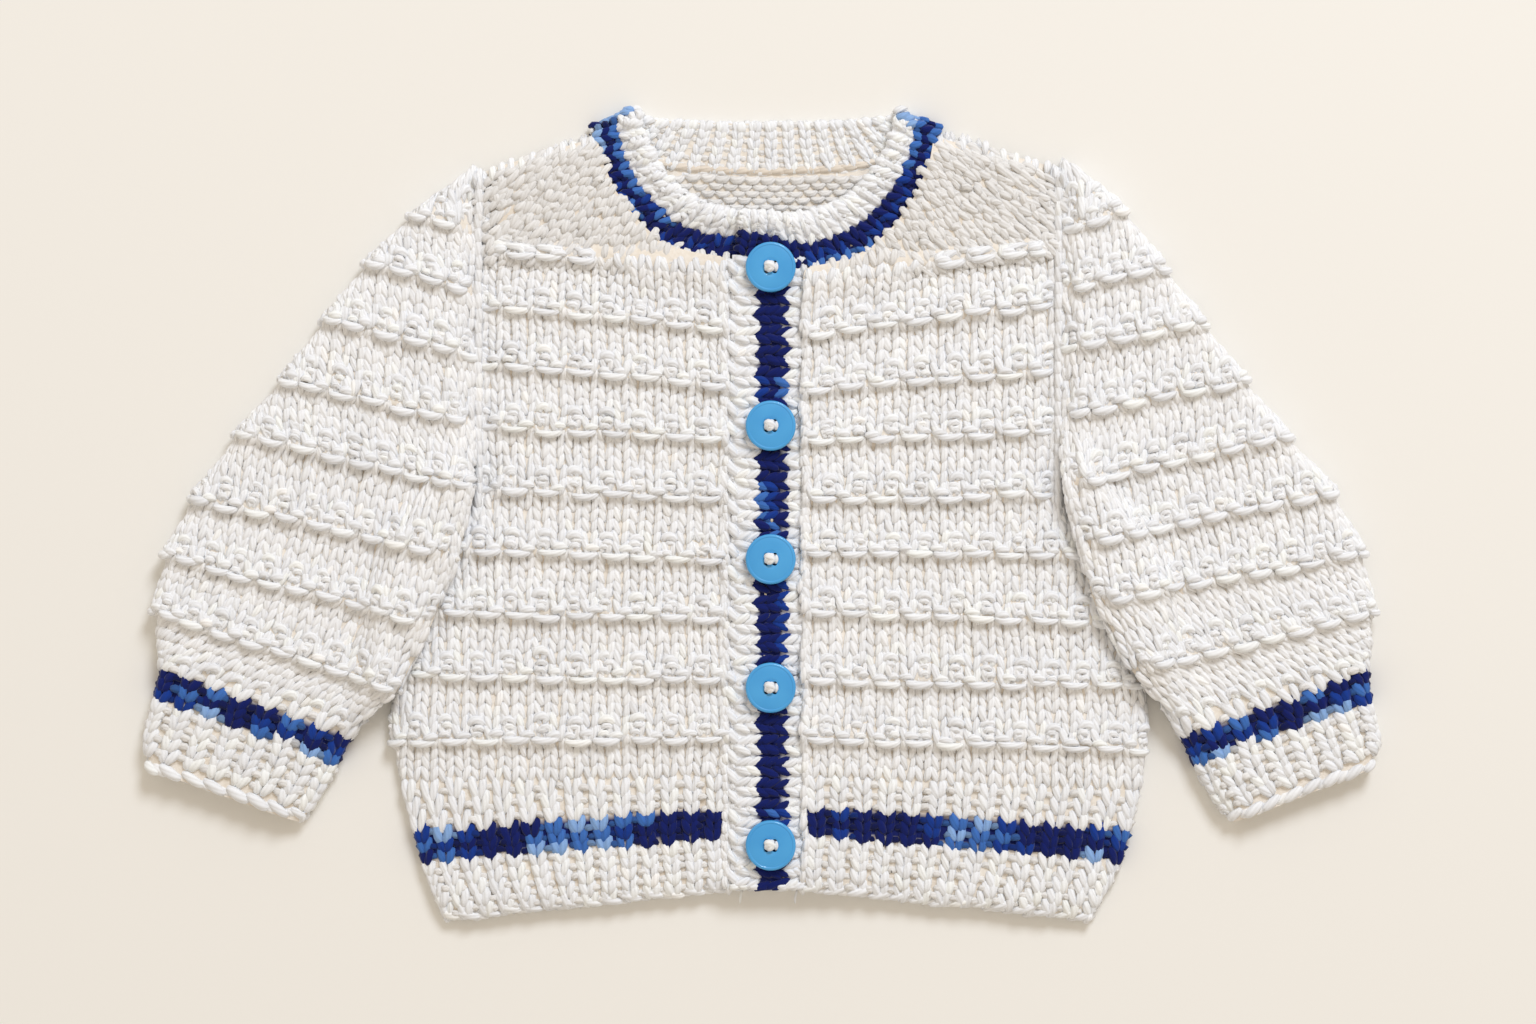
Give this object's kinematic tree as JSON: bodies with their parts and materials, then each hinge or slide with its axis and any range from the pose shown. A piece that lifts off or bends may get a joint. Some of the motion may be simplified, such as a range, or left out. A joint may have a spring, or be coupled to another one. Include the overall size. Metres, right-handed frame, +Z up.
{
  "type": "knitted baby cardigan laid flat",
  "caption": "Hand-knitted cream baby cardigan, laid flat and buttoned, with ridged tiers, striped hem, cuffs, neckband and front band, and round blue buttons.",
  "frame": {"origin": "middle of the footprint of the garment laid flat, on the surface it lies on", "axes": "+X towards the wearer's left sleeve, +Y from the hem to the neck, +Z up, out of the front"},
  "size_m": [0.3718, 0.2437, 0.0154],
  "materials": {
    "cream_wool": "soft off-white knitting wool",
    "striped_wool": "soft knitting wool, off-white with navy and mid-blue rows",
    "blue_button": "glossy sky-blue plastic",
    "sewing_thread": "white sewing thread with a slight sheen"
  },
  "bodies": {
    "root": {"back": "cream_wool", "front_right": "cream_wool", "front_left": "cream_wool", "sleeve_right": "cream_wool", "sleeve_left": "cream_wool", "neckband": "striped_wool", "button_band": "cream_wool", "buttonhole_band": "striped_wool", "button_1": "blue_button", "button_2": "blue_button", "button_3": "blue_button", "button_4": "blue_button", "button_5": "blue_button", "button_thread_1": "sewing_thread", "button_thread_2": "sewing_thread", "button_thread_3": "sewing_thread", "button_thread_4": "sewing_thread", "button_thread_5": "sewing_thread"}
  },
  "joints": []
}
